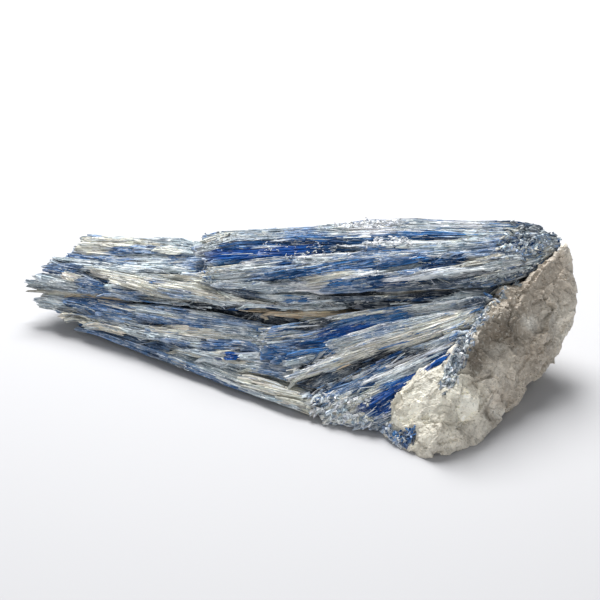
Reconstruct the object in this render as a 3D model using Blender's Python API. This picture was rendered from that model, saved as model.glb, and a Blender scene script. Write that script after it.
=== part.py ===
"""Kyanite blade cluster: sheaves of flat blades that fan out of a block of vein quartz.

A sheaf is a bundle of overlapping blades, and one solid, because its crystals grew into
each other. Its blades run from broken tips, on the left, to roots in the quartz, on the
right. Sheaves meet along open partings, and each is cut by those it lies against.

Sizes are in millimetres here, and become metres as each mesh is made. +X runs from the
tips to the quartz, +Y to the back and +Z up. The cluster rests on z = 0.
"""

from random import Random

import bmesh
import bpy
from mathutils import Vector, noise

MM = 0.001
GAP = 0.35  # open parting between two sheaves
QUARTZ_GAP = 0.7  # open parting between a sheaf and the quartz
BLADE_OVERLAP = 0.5  # how far a blade grows into its neighbours in a sheaf
EDGE_BEVEL = 0.22  # share of a blade's width taken up by the bevel on each long edge
SMALLEST_BLADE = 2.0  # half-width that a blade keeps where its sheaf is pinched

# A sheaf is given by the window that its blades pass through at a few stations, from the
# tips to the roots. A window is four corners: inner front, outer front, outer back and
# inner back, where the outer side shows and the inner side faces the next sheaf.
SHEAVES = {
    "base_sheaf": {
        "stations": [
            [(-86, -33.5, 1.5), (-91, -31.5, 5), (-86, -4, 5), (-80, -4, -1)],
            [(-30, -33, 1.5), (-32, -30, 6), (-24, 16, 6.5), (-22, 16, -1)],
            [(24, -31, 1.2), (22, -27, 6), (42, 34, 6.5), (42, 34, -1)],
        ],
        "columns": 5,
        "layers": 1,
        "ragged": 8.0,
        "step": 0.5,
        "seed": 11,
        "colour": (0.22, 0.28, 0.40),
    },
    "lower_sheaf": {
        "stations": [
            [(-101, -35, 6), (-104, -34, 11), (-99, 0, 12), (-94, 2, 5.6)],
            [(-22, -31, 5.4), (-23, -13, 19), (-10, 26, 20), (-8, 28, 5.4)],
            [(36, -24, 5), (26, 6, 23), (52, 50, 23), (56, 52, -1)],
        ],
        "columns": 5,
        "layers": 2,
        "ragged": 5.0,
        "step": 0.8,
        "seed": 23,
        "colour": (0.28, 0.34, 0.44),
    },
    "wedged_blade": {
        "stations": [
            [(-24, -11.5, 18), (-24, -11, 20.4), (-20, -2, 20.6), (-20, -2, 18.2)],
            [(17, 1.8, 22), (17, 2.2, 24.6), (20, 13, 24.8), (20, 13, 22.2)],
        ],
        "columns": 1,
        "layers": 1,
        "ragged": 0.0,
        "step": 0.0,
        "seed": 5,
        "colour": (0.50, 0.38, 0.24),
    },
    "middle_sheaf": {
        "stations": [
            [(-106, -35, 11.6), (-109, -31, 16), (-103, -2, 24.5), (-98, 3, 12.5)],
            [(-61, -22, 15.4), (-61, -18, 21), (-58, 11, 30), (-54, 15, 16)],
            [(-23, -14, 20.6), (-25, -9, 26), (-20, 20, 33), (-12, 28, 20.6)],
            [(60, 23, 31), (60, 25, 37), (70, 60, 39), (70, 62, 23)],
        ],
        "columns": 5,
        "layers": 2,
        "ragged": 5.0,
        "step": 0.8,
        "seed": 37,
        "colour": (0.38, 0.42, 0.46),
    },
    "upper_sheaf": {
        "stations": [
            [(-38, -14, 26), (-48, -8, 31), (-53, 10, 34.5), (-48, 16, 27)],
            [(14, 6, 30), (13, 8, 38), (18, 41, 48.5), (20, 46, 30)],
            [(58, 26, 37), (57, 28, 44), (62, 65, 50.2), (62, 68, 32)],
            [(71, 46, 38), (71, 48, 42), (72.5, 67, 44), (72, 70, 33)],
        ],
        "columns": 5,
        "layers": 2,
        "ragged": 10.0,
        "step": 1.0,
        "seed": 41,
        "colour": (0.10, 0.18, 0.42),
    },
    "front_fan": {
        "stations": [
            [(10, -20, 1), (6, -29, 5), (-12, -16, 19), (2, -6, 17)],
            [(40, 2, 14), (36, -3, 19), (32, 12, 30), (34, 16, 24)],
            [(66, 22, 24), (62, 12, 31), (64, 27, 38), (68, 32, 32)],
        ],
        "columns": 5,
        "layers": 1,
        "ragged": 8.0,
        "step": 0.8,
        "seed": 53,
        "colour": (0.09, 0.17, 0.46),
    },
    "corner_fan": {
        "stations": [
            [(49, -25, 0.5), (47, -20, 9), (17, -26, 6), (22, -30, 0)],
            [(63, -6, 6), (58, -4, 15.5), (40, 0, 20), (46, 0, 10)],
            [(71, 10, 14), (69, 4, 25), (62, 12, 31), (66, 20, 22)],
        ],
        "columns": 5,
        "layers": 1,
        "ragged": 3.0,
        "step": 0.8,
        "seed": 61,
        "colour": (0.16, 0.24, 0.48),
    },
}

# The quartz is a lump broken off along flat fractures, so its corners give its shape.
QUARTZ_CORNERS = [
    (45, -20, 0),
    (58, -25, 0),
    (68, -26, 0),
    (75, -20, 0),
    (81, -6, 0),
    (80, 22, 0),
    (72, 48, 0),
    (48, 50, 0),
    (71, -21, 9),
    (49, -20, 6),
    (48, -17, 10.6),
    (51, -12.5, 13.8),
    (55, -4.5, 17.2),
    (75, 2, 18),
    (84, 18, 6),
    (85.5, 40, 9),
    (86, 54, 19),
    (85, 57, 26),
    (77.5, 68, 38),
    (73, 68, 43),
    (74, 52, 42),
    (66, 27, 37),
    (68, 6, 31),
    (52, 60, 24),
    (60, 70, 36),
]
QUARTZ_COLOUR = (0.52, 0.50, 0.45)
FRACTURE_EDGE = 9.0  # longest edge left on the quartz before it is roughened
FRACTURE_ROUGHNESS = 0.9  # how far the quartz's surface strays from its flat fractures
FRACTURE_GRAIN = 9.0  # size of the lumps on it

FLOOR_SIZE = 400.0  # the block that cuts everything flat at z = 0


def clear_scene():
    for obj in list(bpy.data.objects):
        bpy.data.objects.remove(obj)


def new_object(name, bm):
    """An object whose mesh is bm, turned from millimetres to metres."""
    bmesh.ops.recalc_face_normals(bm, faces=bm.faces)
    bmesh.ops.scale(bm, vec=(MM, MM, MM), verts=bm.verts)
    mesh = bpy.data.meshes.new(name)
    bm.to_mesh(mesh)
    bm.free()
    obj = bpy.data.objects.new(name, mesh)
    bpy.context.scene.collection.objects.link(obj)
    return obj


def combine(obj, tool, operation):
    """Joins tool to obj, or cuts it from obj, and deletes it."""
    modifier = obj.modifiers.new(operation.title(), "BOOLEAN")
    modifier.operation = operation
    modifier.object = tool
    graph = bpy.context.evaluated_depsgraph_get()
    result = bpy.data.meshes.new_from_object(obj.evaluated_get(graph))
    obj.modifiers.remove(modifier)
    obj.data = result
    bpy.data.objects.remove(tool)


def keep_largest_island(obj):
    """Drops the chips that a cut leaves loose."""
    bm = bmesh.new()
    bm.from_mesh(obj.data)
    islands = []
    unseen = set(bm.verts)
    while unseen:
        queue = [unseen.pop()]
        island = set(queue)
        while queue:
            for edge in queue.pop().link_edges:
                for vert in edge.verts:
                    if vert in unseen:
                        unseen.remove(vert)
                        island.add(vert)
                        queue.append(vert)
        islands.append(island)
    islands.sort(key=len)
    for chip in islands[:-1]:
        bmesh.ops.delete(bm, geom=list(chip), context="VERTS")
    bm.to_mesh(obj.data)
    bm.free()


def window_point(window, across, outward):
    """A point of a window: across runs front to back, outward from inner to outer side."""
    inner_front, outer_front, outer_back, inner_back = (Vector(c) for c in window)
    inner = inner_front.lerp(inner_back, across)
    outer = outer_front.lerp(outer_back, across)
    return inner.lerp(outer, outward)


def blade_ring(window, span, depth, lift, grow):
    """Six corners of a blade where it passes a window: a flat bar with bevelled edges."""
    middle_across = sum(span) / 2
    middle_depth = sum(depth) / 2
    centre = window_point(window, middle_across, middle_depth)
    half_width = window_point(window, span[1], middle_depth) - centre
    half_depth = window_point(window, middle_across, depth[1]) - centre
    wide = half_width.normalized() * (max(half_width.length, SMALLEST_BLADE) + BLADE_OVERLAP + grow)
    deep = half_depth.normalized() * (half_depth.length + BLADE_OVERLAP / 2 + grow)
    flat = wide * (1 - 2 * EDGE_BEVEL)
    centre += half_depth.normalized() * lift
    return [
        centre - wide,
        centre - flat + deep,
        centre + flat + deep,
        centre + wide,
        centre + flat - deep,
        centre - flat - deep,
    ]


def blade(name, sheaf, span, depth, draw, grow):
    """One blade of a sheaf, with an oblique break at its tip."""
    lift = draw.uniform(-1, 1) * sheaf["step"]
    cut_back = draw.uniform(0, 1) * sheaf["ragged"]
    slant = draw.uniform(-0.5, 0.5)
    rings = [blade_ring(w, span, depth, lift, grow) for w in sheaf["stations"]]
    along = [(b - a).normalized() for a, b in zip(rings[0], rings[1])]
    width = (rings[0][3] - rings[0][0]).length
    share = [-0.5, -0.3, 0.3, 0.5, 0.3, -0.3]
    rings[0] = [
        corner + step * (cut_back + slant * width * side - grow)
        for corner, step, side in zip(rings[0], along, share)
    ]
    rings[-1] = [
        corner + (corner - before).normalized() * grow
        for corner, before in zip(rings[-1], rings[-2])
    ]
    bm = bmesh.new()
    loops = [[bm.verts.new(corner) for corner in ring] for ring in rings]
    for end in (loops[0], loops[-1]):
        for k in range(1, 5):
            bm.faces.new((end[0], end[k], end[k + 1]))
    for near, far in zip(loops, loops[1:]):
        for k in range(6):
            bm.faces.new((near[k], near[k - 1], far[k - 1]))
            bm.faces.new((near[k], far[k - 1], far[k]))
    return new_object(name, bm)


def sheaf_solid(name, sheaf, grow=0.0):
    """The blades of a sheaf joined in one solid. As a cutter it is larger by grow."""
    draw = Random(sheaf["seed"])
    columns, layers = sheaf["columns"], sheaf["layers"]
    solid = None
    for layer in range(layers):
        for column in range(columns):
            span = (column / columns, (column + 1) / columns)
            depth = (layer / layers, (layer + 1) / layers)
            piece = blade(name, sheaf, span, depth, draw, grow)
            if solid is None:
                solid = piece
            else:
                combine(solid, piece, "UNION")
    return solid


def floor_block():
    bm = bmesh.new()
    bmesh.ops.create_cube(bm, size=FLOOR_SIZE)
    bmesh.ops.translate(bm, verts=bm.verts, vec=(0, 0, -FLOOR_SIZE / 2))
    return new_object("floor_block", bm)


def quartz_lump():
    """The convex lump of the corners, with its flat fractures roughened."""
    bm = bmesh.new()
    for corner in QUARTZ_CORNERS:
        bm.verts.new(corner)
    hull = bmesh.ops.convex_hull(bm, input=bm.verts)
    loose = [v for v in hull["geom_interior"] if isinstance(v, bmesh.types.BMVert)]
    bmesh.ops.delete(bm, geom=loose, context="VERTS")
    for _ in range(3):
        long_edges = [e for e in bm.edges if e.calc_length() > FRACTURE_EDGE]
        bmesh.ops.subdivide_edges(bm, edges=long_edges, cuts=1)
        bmesh.ops.triangulate(bm, faces=bm.faces)
    bm.normal_update()
    for vert in bm.verts:
        if vert.co.z > 0:
            swell = noise.noise(vert.co / FRACTURE_GRAIN) * FRACTURE_ROUGHNESS
            vert.co += vert.normal * swell
    return new_object("quartz_matrix", bm)


def give_material(obj, colour, roughness):
    material = bpy.data.materials.new(obj.name)
    material.use_nodes = True
    shader = material.node_tree.nodes["Principled BSDF"]
    shader.inputs["Base Color"].default_value = (*colour, 1)
    shader.inputs["Roughness"].default_value = roughness
    obj.data.materials.clear()
    obj.data.materials.append(material)


def stand_at_origin(objects):
    """Moves the meshes so that the middle of the cluster's box stands on the origin."""
    corners = [v.co for obj in objects for v in obj.data.vertices]
    middle = [(min(c[axis] for c in corners) + max(c[axis] for c in corners)) / 2 for axis in (0, 1)]
    for obj in objects:
        for vert in obj.data.vertices:
            vert.co.x -= middle[0]
            vert.co.y -= middle[1]


def build():
    clear_scene()
    pieces = []
    for name, sheaf in SHEAVES.items():
        solid = sheaf_solid(name, sheaf)
        for other, before in SHEAVES.items():
            if other == name:
                break
            combine(solid, sheaf_solid("cutter", before, grow=GAP), "DIFFERENCE")
        combine(solid, floor_block(), "DIFFERENCE")
        keep_largest_island(solid)
        give_material(solid, sheaf["colour"], roughness=0.4)
        pieces.append(solid)
    quartz = quartz_lump()
    for sheaf in SHEAVES.values():
        combine(quartz, sheaf_solid("cutter", sheaf, grow=QUARTZ_GAP), "DIFFERENCE")
    combine(quartz, floor_block(), "DIFFERENCE")
    keep_largest_island(quartz)
    give_material(quartz, QUARTZ_COLOUR, roughness=0.6)
    pieces.append(quartz)
    stand_at_origin(pieces)


build()
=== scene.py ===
"""Looks of a kyanite blade cluster: fine blades laid over each sheaf, and broken vein quartz.

The object is in metres, with +X from the broken tips to the quartz and +Z up. Sizes are
given in millimetres, and MM turns them to metres. Pairs such as (284, 243) are points of the
camera's view, in pixels. The sheaves come in the order in which they lie on each other.
"""

import math
from random import Random

import bmesh
import bpy
import numpy as np
from mathutils import Matrix, Vector, noise
from mathutils.bvhtree import BVHTree
from mathutils.kdtree import KDTree


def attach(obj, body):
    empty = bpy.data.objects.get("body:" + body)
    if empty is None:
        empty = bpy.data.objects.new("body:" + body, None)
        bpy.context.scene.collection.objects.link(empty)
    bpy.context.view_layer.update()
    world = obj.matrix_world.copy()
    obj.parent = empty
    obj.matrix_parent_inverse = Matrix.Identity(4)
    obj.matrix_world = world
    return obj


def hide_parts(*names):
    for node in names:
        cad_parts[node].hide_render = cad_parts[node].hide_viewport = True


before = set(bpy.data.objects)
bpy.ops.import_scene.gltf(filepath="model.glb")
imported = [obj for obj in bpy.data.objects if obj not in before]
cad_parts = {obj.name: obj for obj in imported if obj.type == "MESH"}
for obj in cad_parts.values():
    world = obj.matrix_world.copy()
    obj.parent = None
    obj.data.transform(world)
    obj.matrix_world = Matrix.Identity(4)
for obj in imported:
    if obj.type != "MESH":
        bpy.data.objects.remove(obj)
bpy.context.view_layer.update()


# ---------------------------------------------------------------------------------------
# Studio. A white card table under a square soft box that hangs behind and to the left, with
# a weak, low fill in front. A long lens looks down on the cluster's front, from the right.

MM = 0.001
VIEW_SIZE = 600
FOCAL_PIXELS = 1372
SENSOR = 36.0  # millimetres, as Blender counts it
AIM = Vector((10.8, -17.7, 27.0)) * MM
AZIMUTH = math.radians(34)
ELEVATION = math.radians(32)
DISTANCE = 507 * MM
TABLE = 4.0  # metres along a side


def linear(code):
    """A colour given as sRGB hex, such as "2E5AA8", turned to linear."""
    parts = [int(code[k : k + 2], 16) / 255 for k in (0, 2, 4)]
    return (*(p / 12.92 if p <= 0.04045 else ((p + 0.055) / 1.055) ** 2.4 for p in parts), 1.0)


def add_node(tree, kind, settings=(), **links):
    """Adds a node. Settings go to its properties, or to its inputs by name or number."""
    node = tree.nodes.new(kind)
    for name, value in dict(settings).items():
        if isinstance(name, int) or name in node.inputs:
            node.inputs[name].default_value = value
        else:
            setattr(node, name, value)
    for name, socket in links.items():
        key = int(name[1:]) if name[0] == "i" and name[1:].isdigit() else name.replace("_", " ")
        tree.links.new(socket, node.inputs[key])
    return node


def new_object(name, data):
    item = bpy.data.objects.new(name, data)
    bpy.context.scene.collection.objects.link(item)
    return item


towards_camera = Vector(
    (
        math.sin(AZIMUTH) * math.cos(ELEVATION),
        -math.cos(AZIMUTH) * math.cos(ELEVATION),
        math.sin(ELEVATION),
    )
)
camera_data = bpy.data.cameras.new("camera")
camera_data.sensor_width = SENSOR
camera_data.lens = SENSOR * FOCAL_PIXELS / VIEW_SIZE
camera_data.clip_start = 0.01
camera = new_object("camera", camera_data)
camera.location = AIM + towards_camera * DISTANCE
camera.rotation_euler = towards_camera.to_track_quat("Z", "Y").to_euler()
bpy.context.scene.camera = camera
bpy.context.view_layer.update()


def soft_box(name, place, size, power):
    """A square area light aimed at the cluster. Metres and watts."""
    data = bpy.data.lights.new(name, "AREA")
    data.shape = "SQUARE"
    data.size = size
    data.energy = power
    light = new_object(name, data)
    light.location = Vector(place)
    light.rotation_euler = (light.location - AIM).to_track_quat("Z", "Y").to_euler()


soft_box("key", place=(-0.38, 0.46, 0.76), size=0.5, power=20)
soft_box("fill", place=(0.4, -0.85, 0.14), size=0.5, power=3)

world = bpy.data.worlds.new("room")
world.use_nodes = True
world.node_tree.nodes["Background"].inputs["Color"].default_value = linear("F3F6FA")
world.node_tree.nodes["Background"].inputs["Strength"].default_value = 0.30
bpy.context.scene.world = world
bpy.context.scene.view_settings.view_transform = "Standard"

bm = bmesh.new()
bmesh.ops.create_grid(bm, x_segments=1, y_segments=1, size=TABLE / 2)
table_mesh = bpy.data.meshes.new("table")
bm.to_mesh(table_mesh)
bm.free()
card = bpy.data.materials.new("white_card")
card.use_nodes = True
card.node_tree.nodes["Principled BSDF"].inputs["Base Color"].default_value = linear("BDBDBF")
card.node_tree.nodes["Principled BSDF"].inputs["Roughness"].default_value = 0.8
table_mesh.materials.append(card)
new_object("table", table_mesh)


# ---------------------------------------------------------------------------------------
# Base sheaf. The lowest kyanite blades, which the cluster rests on: grey-blue, worn and
# stained. Like every sheaf, it grew as a bundle from the quartz, and broke off in steps.

# Shades of kyanite, from its clearest blue through frayed white to the iron stain, and how
# far each has frayed. The two darkest are painted shade for clefts and recesses, and white
# is also used for painted highlights on some tops.
KYANITE = {
    "vivid": ("1F5096", 0.03),
    "deep": ("27507F", 0.06),
    "blue": ("4377AD", 0.2),
    "denim": ("587AA4", 0.4),
    "steel": ("7F99BA", 0.5),
    "pale": ("C2CDD1", 0.9),
    "grey": ("BCC3C4", 0.9),
    "haze": ("93A3B0", 0.6),
    "slate": ("5A6878", 0.4),
    "white": ("FAFBFA", 0.4),
    "cream": ("E1DDCD", 0.4),
    "tan": ("E0CBAA", 0.2),
    # painted shade, for clefts and recesses
    "painted_cleft_shade": ("333C48", 0.25),
    # painted shadow, for the deepest gaps and partings
    "dark": ("141A24", 0.0),
}


# Patterns drawn out along a blade: their length and width in millimetres, and their detail.
# The real striae are under 0.1 mm apart, too fine to show, so they are drawn coarser.
STREAKS = {"striae": (6, 0.7, 4), "flecks": (1.6, 0.8, 2), "bands": (16, 1.1, 3)}
# What lies over a blade's own colour: the pattern it follows, where in that it starts and is
# full, how much it then hides, whether only frayed blades have it, and its colour.
OVERLAYS = (
    ("patchy_striae", 0.25, 0.38, 0.8, True, "E2E6E6"),
    ("striae", 0.45, 0.33, 0.75, False, "1B2536"),
    ("flecks", 0.58, 0.68, 0.8, True, "EEF1F0"),
)


def cleaved_kyanite():
    """Kyanite on its cleavage: glassy to pearly, striated, white where it has frayed."""
    material = bpy.data.materials.new("cleaved_kyanite")
    material.use_nodes = True
    tree = material.node_tree
    tree.nodes.clear()
    tint = add_node(tree, "ShaderNodeAttribute", {"attribute_name": "tint"})
    # grain holds millimetres along and across the blade
    grain = add_node(tree, "ShaderNodeAttribute", {"attribute_name": "grain"})
    place = add_node(tree, "ShaderNodeTexCoord")

    patterns = {}
    for name, (along, across, detail) in STREAKS.items():
        settings = {"Scale": (1 / along, 1 / across, 1)}
        scaled = add_node(tree, "ShaderNodeMapping", settings, Vector=grain.outputs["Vector"])
        settings = {"Scale": 1.0, "Detail": detail, "Roughness": 0.65}
        streaks = add_node(tree, "ShaderNodeTexNoise", settings, Vector=scaled.outputs[0])
        patterns[name] = streaks.outputs["Fac"]
    patches = add_node(
        tree,
        "ShaderNodeTexNoise",
        {"Scale": 1 / (5 * MM), "Detail": 3.0, "Roughness": 0.6},
        Vector=place.outputs["Object"],
    )
    product = {"operation": "MULTIPLY", "use_clamp": True}
    patterns["patchy_striae"] = add_node(
        tree, "ShaderNodeMath", product, i0=patterns["striae"], i1=patches.outputs["Fac"]
    ).outputs[0]

    shade = add_node(tree, "ShaderNodeValToRGB", Fac=patterns["bands"])
    shade.color_ramp.elements[0].position = 0.34
    shade.color_ramp.elements[0].color = linear("A3ACBE")
    shade.color_ramp.elements[1].position = 0.6
    shade.color_ramp.elements[1].color = linear("FFFFFF")
    body = add_node(
        tree,
        "ShaderNodeMix",
        {"data_type": "RGBA", "blend_type": "MULTIPLY", 0: 1.0},
        i6=tint.outputs["Color"],
        i7=shade.outputs["Color"],
    ).outputs[2]
    for pattern, low, high, most, if_frayed, colour in OVERLAYS:
        settings = {"From Min": low, "From Max": high, "To Max": most}
        amount = add_node(tree, "ShaderNodeMapRange", settings, Value=patterns[pattern]).outputs[0]
        if if_frayed:
            frayed = tint.outputs["Alpha"]
            amount = add_node(tree, "ShaderNodeMath", product, i0=amount, i1=frayed).outputs[0]
        settings = {"data_type": "RGBA", 7: linear(colour)}
        body = add_node(tree, "ShaderNodeMix", settings, i0=amount, i6=body).outputs[2]

    bump = add_node(
        tree,
        "ShaderNodeBump",
        {"Strength": 0.7, "Distance": 0.15 * MM},
        Height=patterns["striae"],
    )
    roughness = add_node(
        tree,
        "ShaderNodeMapRange",
        {"From Min": 0.35, "From Max": 0.65, "To Min": 0.3, "To Max": 0.65},
        Value=patterns["striae"],
    )
    shader = add_node(
        tree,
        "ShaderNodeBsdfPrincipled",
        {"IOR": 1.72, "Specular IOR Level": 0.0},
        Base_Color=body,
        Roughness=roughness.outputs[0],
        Normal=bump.outputs[0],
    )
    add_node(tree, "ShaderNodeOutputMaterial", Surface=shader.outputs[0])
    return material


kyanite = cleaved_kyanite()
FLOOR_CLEARANCE = 0.05 * MM
WALK = 3.0 * MM  # one step over a surface
INSET = 0.7 * MM  # of a sheaf's solid body under its outer blades
BESIDE = 4 * MM  # how far past a sheaf's edge a drawn blade may be seen
JUTS_OUT = 2.5 * MM  # how far a drawn blade's tip may stand out of its sheaf
# Painted shade: the body that shows between the blades is painted darker than them.
SKIN_PAINTED_SHADE = 0.8  # that body's lightness, next to the blades'
GUIDE_SPACING = 1.2  # millimetres between the marks that a drawn blade leaves
FLAT = 0.3  # depth of the finest blades, at most
EDGE_FRAY = 0.5  # more fraying at a blade's edges, as a share
TIP_FADE = 0.22  # share of a blade's length over which its frayed tip turns to its own colour
OWN_GUIDES = 600  # places spread over a sheaf; those out of sight keep the sheaf's own run
DRAWN_SHARE = 0.96  # of blades next to a drawn blade, how many take its colour
DRAWN_REACH = 25 * MM  # how far away that share has dropped to a third
UNDERSIDE = 1.5 * MM  # height up to which a face that looks down is the resting flat
# A kind of blade: cuts along it, columns across it, and how far its edges thin out.
KINDS = {
    "plate": (6, 4, 0.4),
    "blade": (6, 2, 0.4),
    "needle": (4, 1, 1.0),
    "splinter": (2, 1, 1.0),
}
# How far blades of a kind differ in lightness.
SPREAD = {"plate": 0.1, "blade": 0.13, "needle": 0.16, "splinter": 0.22}
PALE_SPLINTERS = ("white", "white", "cream", "pale")


def blade_bar(stations, columns):
    """A bar one unit long, wide and deep, cut at each station and between its columns."""
    bm = bmesh.new()
    bmesh.ops.create_cube(bm, size=1, matrix=Matrix.Translation((0.5, 0, 0)))
    cuts = [((k / (stations - 1), 0, 0), (1, 0, 0)) for k in range(1, stations - 1)]
    cuts += [((0, k / columns - 0.5, 0), (0, 1, 0)) for k in range(1, columns)]
    for place, across in cuts:
        geometry = bm.verts[:] + bm.edges[:] + bm.faces[:]
        bmesh.ops.bisect_plane(bm, geom=geometry, plane_co=place, plane_no=across)
    return bm


def applied(item):
    """The mesh of an object with its modifiers applied. The object goes."""
    graph = bpy.context.evaluated_depsgraph_get()
    mesh = bpy.data.meshes.new_from_object(item.evaluated_get(graph))
    bpy.data.objects.remove(item)
    return mesh


def joined_copies(bm, count):
    """One mesh of count copies, all in one place, for the caller to move apart."""
    mesh = bpy.data.meshes.new("copies")
    bm.to_mesh(mesh)
    bm.free()
    holder = new_object("copies", mesh)
    copies = holder.modifiers.new("Copies", "ARRAY")
    copies.use_relative_offset = False
    copies.count = count
    return applied(holder)


def unit(vectors):
    return vectors / np.maximum(np.linalg.norm(vectors, axis=-1, keepdims=True), 1e-12)


def mesh_of_blades(blades, kind, draw):
    """All the blades of one kind in one mesh, with their tint and their grain."""
    stations, columns, edge = KINDS[kind]
    mesh = joined_copies(blade_bar(stations, columns), len(blades))
    corners = np.empty(len(mesh.vertices) * 3, np.float32)
    mesh.vertices.foreach_get("co", corners)
    corners = corners.reshape(len(blades), -1, 3)[0]
    at = np.rint(corners[:, 0] * (stations - 1)).astype(int)
    column = np.rint((corners[:, 1] + 0.5) * columns).astype(int)
    y, z = corners[:, 1].copy(), corners[:, 2].copy()
    outer = (column == 0) | (column == columns)
    z[outer] *= edge

    def values(name):
        return np.array([blade[name] for blade in blades])

    path, normal = values("path"), values("normals")
    width, depth, length = values("width"), values("depth"), values("length")
    along = unit(np.gradient(path, axis=1))
    side = unit(np.cross(along, normal))
    up = np.cross(side, along)
    roll = values("roll")[:, None, None]
    side, up = side * np.cos(roll) + up * np.sin(roll), up * np.cos(roll) - side * np.sin(roll)
    share = np.linspace(0, 1, stations)
    lift = values("proud")[:, None] * (1 - share) + values("sunk")[:, None] * share
    taper = values("taper")
    wide = np.minimum(1, taper[:, :1] + share * 4) * np.minimum(1, taper[:, 1:] + (1 - share) * 3)
    centre = path + up * lift[:, :, None]
    ridge = draw.normal(0, 0.25, (len(blades), columns + 1)) * (edge < 1)
    jag = draw.uniform(-1, 1, (len(blades), 2, columns + 1)) * values("jag")[:, None, None]
    waver = draw.normal(0, 0.05, (len(blades), stations)) * (edge < 1)
    end = np.where(at == 0, 0, 1)
    is_end = (at == 0) | (at == stations - 1)
    places = (
        centre[:, at]
        + side[:, at] * ((y + waver[:, at]) * (width[:, None] * wide[:, at]))[:, :, None]
        + up[:, at] * ((z + ridge[:, column] * (z > 0)) * depth[:, None])[:, :, None]
        + along[:, at] * (jag[:, end, column] * is_end)[:, :, None]
    )
    places[:, :, 2] = np.maximum(places[:, :, 2], FLOOR_CLEARANCE)
    mesh.vertices.foreach_set("co", places.astype(np.float32).ravel())

    body, tip = values("colour")[:, at], values("tip_colour")[:, None]
    fade = np.clip(corners[:, 0] / TIP_FADE, 0, 1)[None, :, None]
    tint = np.ones((len(blades), len(corners), 4), np.float32)
    stripes = np.exp(draw.normal(0, 0.2, (len(blades), columns + 1)))[:, column, None]
    tint[:, :, :3] = (tip * (1 - fade) + body * fade) * stripes
    tint[:, :, 3] = values("frayed")[:, at] * (1 + EDGE_FRAY * outer)
    write_layer(mesh, "tint", "FLOAT_COLOR", tint)
    grain = np.empty((len(blades), len(corners), 3), np.float32)
    start = draw.uniform(0, 400, (len(blades), 3))
    grain[:, :, 0] = start[:, :1] + corners[None, :, 0] * length[:, None] / MM
    grain[:, :, 1] = start[:, 1:2] + (y * width[:, None] + z * depth[:, None]) / MM
    grain[:, :, 2] = start[:, 2:]
    write_layer(mesh, "grain", "FLOAT_VECTOR", grain)
    return mesh


def write_layer(mesh, name, kind, values):
    layer = mesh.attributes.new(name, kind, "POINT")
    part = "color" if kind == "FLOAT_COLOR" else "vector"
    layer.data.foreach_set(part, values.astype(np.float32).ravel())


def smooth_body(node, voxel, passes):
    """A copy of a frame solid with its steps smoothed away, as a bmesh."""
    holder = new_object("body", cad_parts[node].data.copy())
    bm = bmesh.new()
    bm.from_mesh(holder.data)
    bmesh.ops.remove_doubles(bm, verts=bm.verts, dist=1e-6)
    bm.to_mesh(holder.data)
    bm.clear()
    remesh = holder.modifiers.new("Remesh", "REMESH")
    remesh.mode = "VOXEL"
    remesh.voxel_size = voxel
    bm.from_mesh(applied(holder))
    for _ in range(passes):
        bmesh.ops.smooth_vert(
            bm, verts=bm.verts, factor=0.5, use_axis_x=True, use_axis_y=True, use_axis_z=True
        )
    bm.normal_update()
    return bm


def sight(u, v):
    """The direction in which the camera sees a point of its view, given in pixels."""
    half = VIEW_SIZE / 2
    local = Vector(((u - half) / FOCAL_PIXELS, (half - v) / FOCAL_PIXELS, -1))
    return (camera.matrix_world.to_3x3() @ local).normalized()


def smoothed(vectors, passes=2):
    """A path with its kinks eased. Its ends stay."""
    for _ in range(passes):
        inner = [(a + b * 2 + c) / 4 for a, b, c in zip(vectors, vectors[1:], vectors[2:])]
        vectors = [vectors[0]] + inner + [vectors[-1]]
    return vectors


def resampled(path, normals, count, start=0.0, stop=1.0, aside=0.0):
    """count points evenly over part of a path, and to its side, and the normals there."""
    points, ups = np.array(path), np.array(normals)
    steps = np.linalg.norm(np.diff(points, axis=0), axis=1)
    run = np.concatenate(([0], np.cumsum(steps)))
    at = np.linspace(start, stop, count) * run[-1]
    points = np.stack([np.interp(at, run, points[:, k]) for k in range(3)], axis=1)
    ups = np.stack([np.interp(at, run, ups[:, k]) for k in range(3)], axis=1)
    sides = unit(np.cross(np.gradient(points, axis=0), ups))
    return points + sides * aside, ups


# Colours of blades that fewer pale splinters lie on, and the share that is missing.
GLASSY = {
    "vivid": 0.98,
    "deep": 0.95,
    "blue": 0.8,
    "denim": 0.5,
    "slate": 0.8,
    "painted_cleft_shade": 0.9,
    "tan": 0.9,
}
END_FACE = 0.72  # cosine between a face and the grain, past which the face is a broken end


def is_underside(place, normal):
    """Whether a place is on the flat that the cluster rests on."""
    return place.z < UNDERSIDE and normal.z < -0.5


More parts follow.
